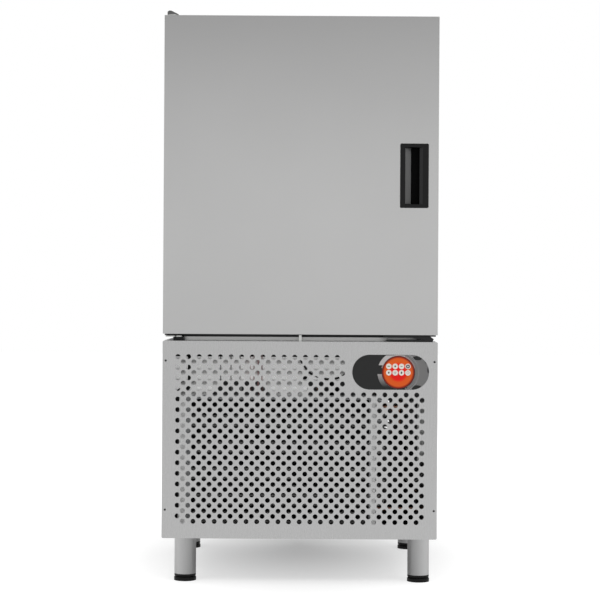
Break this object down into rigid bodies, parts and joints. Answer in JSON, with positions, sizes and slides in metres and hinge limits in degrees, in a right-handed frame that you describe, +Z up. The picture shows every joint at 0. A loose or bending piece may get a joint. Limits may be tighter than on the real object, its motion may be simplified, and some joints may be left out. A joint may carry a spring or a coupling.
{
  "type": "blast chiller",
  "caption": "Upright stainless blast chiller with one foamed door, tray racks, a perforated machine front with a round key control, and four levelling legs",
  "frame": {"origin": "on the floor, under the middle of the overall box", "axes": "+X to the right as seen from the front, +Y to the back, +Z up; the door and control face -Y"},
  "size_m": [0.79, 0.82, 1.65],
  "materials": {
    "foam": "rigid foam insulation, pale yellow",
    "brushed_stainless": "vertical satin brushing",
    "perforated_stainless": "satin sheet with round staggered holes",
    "galvanised": "zinc coated sheet, matt",
    "chamber_stainless": "fine satin stainless",
    "frame_black": "matt extruded profile",
    "screw_black": "black zinc screw head",
    "fascia_black": "semi-gloss film on plastic",
    "ring_silver": "silver print under clear film",
    "disc_orange_red": "glossy orange to red, darker rim",
    "housing_black": "matt moulded plastic",
    "coil_dark": "dark coated fins with tube rows",
    "coil_aluminium": "bright fins",
    "compressor_black": "black enamel",
    "receiver_blue": "dark blue enamel",
    "copper_pipe": "drawn copper",
    "baffle_light": "pale sheet",
    "box_grey": "light grey moulding",
    "zinc_bracket": "bright zinc plate",
    "hinge_black": "black nylon",
    "leg_stainless": "polished round tube",
    "foot_black": "black plastic foot",
    "fan_grey": "grey moulded blades",
    "key_white": "soft white key tops",
    "gasket_black": "soft black gasket",
    "handle_black": "fine grained black moulding"
  },
  "bodies": {
    "root": {"cabinet_foam": "foam", "cabinet_outer_shell": "brushed_stainless", "plinth_frame": "brushed_stainless", "side_panel_left": "brushed_stainless", "side_panel_right": "brushed_stainless", "grille_panel": "perforated_stainless", "cabinet_back_panel": "galvanised", "machine_frame": "galvanised", "rear_grille": "galvanised", "base_tray": "galvanised", "condenser_shroud": "galvanised", "chamber_liner": "chamber_stainless", "fan_panel": "chamber_stainless", "fan_guards": "chamber_stainless", "tray_rack_left": "chamber_stainless", "tray_rack_right": "chamber_stainless", "front_frame": "frame_black", "grille_screws": "screw_black", "control_fascia": "fascia_black", "control_ring": "ring_silver", "control_disc": "disc_orange_red", "control_housing": "housing_black", "condenser_fan_motor": "housing_black", "evaporator_fan_motors": "housing_black", "cable_gland": "housing_black", "condenser_coil": "coil_dark", "evaporator_coil": "coil_aluminium", "compressor": "compressor_black", "receiver_and_drier": "receiver_blue", "pipework": "copper_pipe", "air_baffle": "baffle_light", "electrical_box": "box_grey", "hinge_bracket_top": "zinc_bracket", "hinge_bracket_bottom": "zinc_bracket", "door_switch": "zinc_bracket", "hinge_covers": "hinge_black", "door_ramp": "hinge_black", "leg_tubes": "leg_stainless", "leg_sockets": "foot_black"},
    "door": {"door_skin": "brushed_stainless", "door_foam": "foam", "door_liner": "chamber_stainless", "door_gasket": "gasket_black", "door_handle": "handle_black", "door_bushes": "hinge_black"},
    "condenser_fan": {"condenser_fan": "fan_grey"},
    "evap_fan_upper": {"evap_fan_upper": "fan_grey"},
    "evap_fan_lower": {"evap_fan_lower": "fan_grey"},
    "foot_front_left": {"foot_front_left": "foot_black"},
    "foot_front_right": {"foot_front_right": "foot_black"},
    "foot_rear_left": {"foot_rear_left": "foot_black"},
    "foot_rear_right": {"foot_rear_right": "foot_black"},
    "key_1": {"key_1": "key_white"},
    "key_2": {"key_2": "key_white"},
    "key_3": {"key_3": "key_white"},
    "key_4": {"key_4": "key_white"},
    "key_5": {"key_5": "key_white"},
    "key_6": {"key_6": "key_white"},
    "key_7": {"key_7": "key_white"},
    "key_8": {"key_8": "key_white"}
  },
  "joints": [
    {"name": "door_hinge", "type": "hinge", "parent": "root", "child": "door", "pos_m": [-0.373, -0.376, 1.1765], "axis": [0, 0, -1], "range_deg": [0, 110]},
    {"name": "condenser_fan_spin", "type": "hinge", "parent": "root", "child": "condenser_fan", "pos_m": [-0.0565, -0.22, 0.331], "axis": [0, 1, 0], "continuous": true},
    {"name": "evap_fan_upper_spin", "type": "hinge", "parent": "root", "child": "evap_fan_upper", "pos_m": [0, 0.109, 1.3445], "axis": [0, 1, 0], "continuous": true},
    {"name": "evap_fan_lower_spin", "type": "hinge", "parent": "root", "child": "evap_fan_lower", "pos_m": [0, 0.109, 1.0045], "axis": [0, 1, 0], "continuous": true},
    {"name": "foot_front_left_screw", "type": "slide", "parent": "root", "child": "foot_front_left", "axis": [0, 0, -1], "range_m": [0, 0.03]},
    {"name": "foot_front_right_screw", "type": "slide", "parent": "root", "child": "foot_front_right", "axis": [0, 0, -1], "range_m": [0, 0.03]},
    {"name": "foot_rear_left_screw", "type": "slide", "parent": "root", "child": "foot_rear_left", "axis": [0, 0, -1], "range_m": [0, 0.03]},
    {"name": "foot_rear_right_screw", "type": "slide", "parent": "root", "child": "foot_rear_right", "axis": [0, 0, -1], "range_m": [0, 0.03]},
    {"name": "key_1_press", "type": "slide", "parent": "root", "child": "key_1", "axis": [0, 1, 0], "range_m": [0, 0.0006], "stiffness_N_per_m": 1500, "springref_m": -0.0006},
    {"name": "key_2_press", "type": "slide", "parent": "root", "child": "key_2", "axis": [0, 1, 0], "range_m": [0, 0.0006], "stiffness_N_per_m": 1500, "springref_m": -0.0006},
    {"name": "key_3_press", "type": "slide", "parent": "root", "child": "key_3", "axis": [0, 1, 0], "range_m": [0, 0.0006], "stiffness_N_per_m": 1500, "springref_m": -0.0006},
    {"name": "key_4_press", "type": "slide", "parent": "root", "child": "key_4", "axis": [0, 1, 0], "range_m": [0, 0.0006], "stiffness_N_per_m": 1500, "springref_m": -0.0006},
    {"name": "key_5_press", "type": "slide", "parent": "root", "child": "key_5", "axis": [0, 1, 0], "range_m": [0, 0.0006], "stiffness_N_per_m": 1500, "springref_m": -0.0006},
    {"name": "key_6_press", "type": "slide", "parent": "root", "child": "key_6", "axis": [0, 1, 0], "range_m": [0, 0.0006], "stiffness_N_per_m": 1500, "springref_m": -0.0006},
    {"name": "key_7_press", "type": "slide", "parent": "root", "child": "key_7", "axis": [0, 1, 0], "range_m": [0, 0.0006], "stiffness_N_per_m": 1500, "springref_m": -0.0006},
    {"name": "key_8_press", "type": "slide", "parent": "root", "child": "key_8", "axis": [0, 1, 0], "range_m": [0, 0.0006], "stiffness_N_per_m": 1500, "springref_m": -0.0006}
  ]
}
